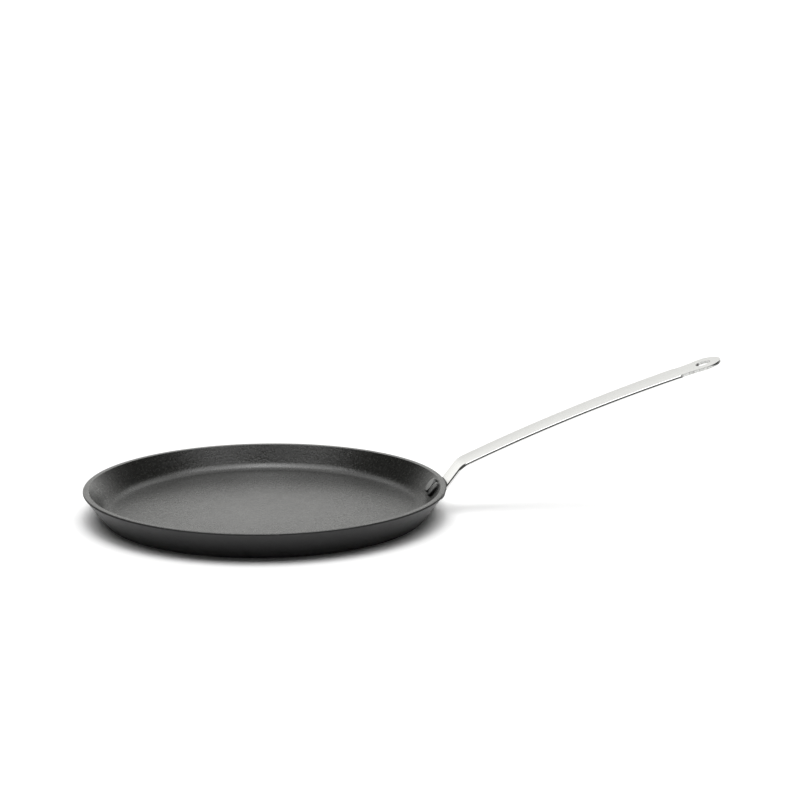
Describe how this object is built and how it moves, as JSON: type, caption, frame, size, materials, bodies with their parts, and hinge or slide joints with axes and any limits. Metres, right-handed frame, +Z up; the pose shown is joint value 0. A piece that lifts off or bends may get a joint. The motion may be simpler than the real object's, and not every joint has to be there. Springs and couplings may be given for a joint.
{
  "type": "crepe pan",
  "caption": "Shallow round pan with a low slanted wall, a dark non-stick finish and a long steel strip handle with a hanging hole.",
  "frame": {"origin": "centre of the pan's underside, on the plane that it rests on", "axes": "+X along the handle, +Z up out of the pan"},
  "size_m": [0.5329, 0.3, 0.123],
  "materials": {
    "coated_aluminium": "dark satin non-stick coating",
    "steel_strip": "smooth satin",
    "coated_rivet": "dark satin coating"
  },
  "bodies": {
    "root": {"pan_body": "coated_aluminium", "handle": "steel_strip", "rivet_left": "coated_rivet", "rivet_right": "coated_rivet"}
  },
  "joints": []
}
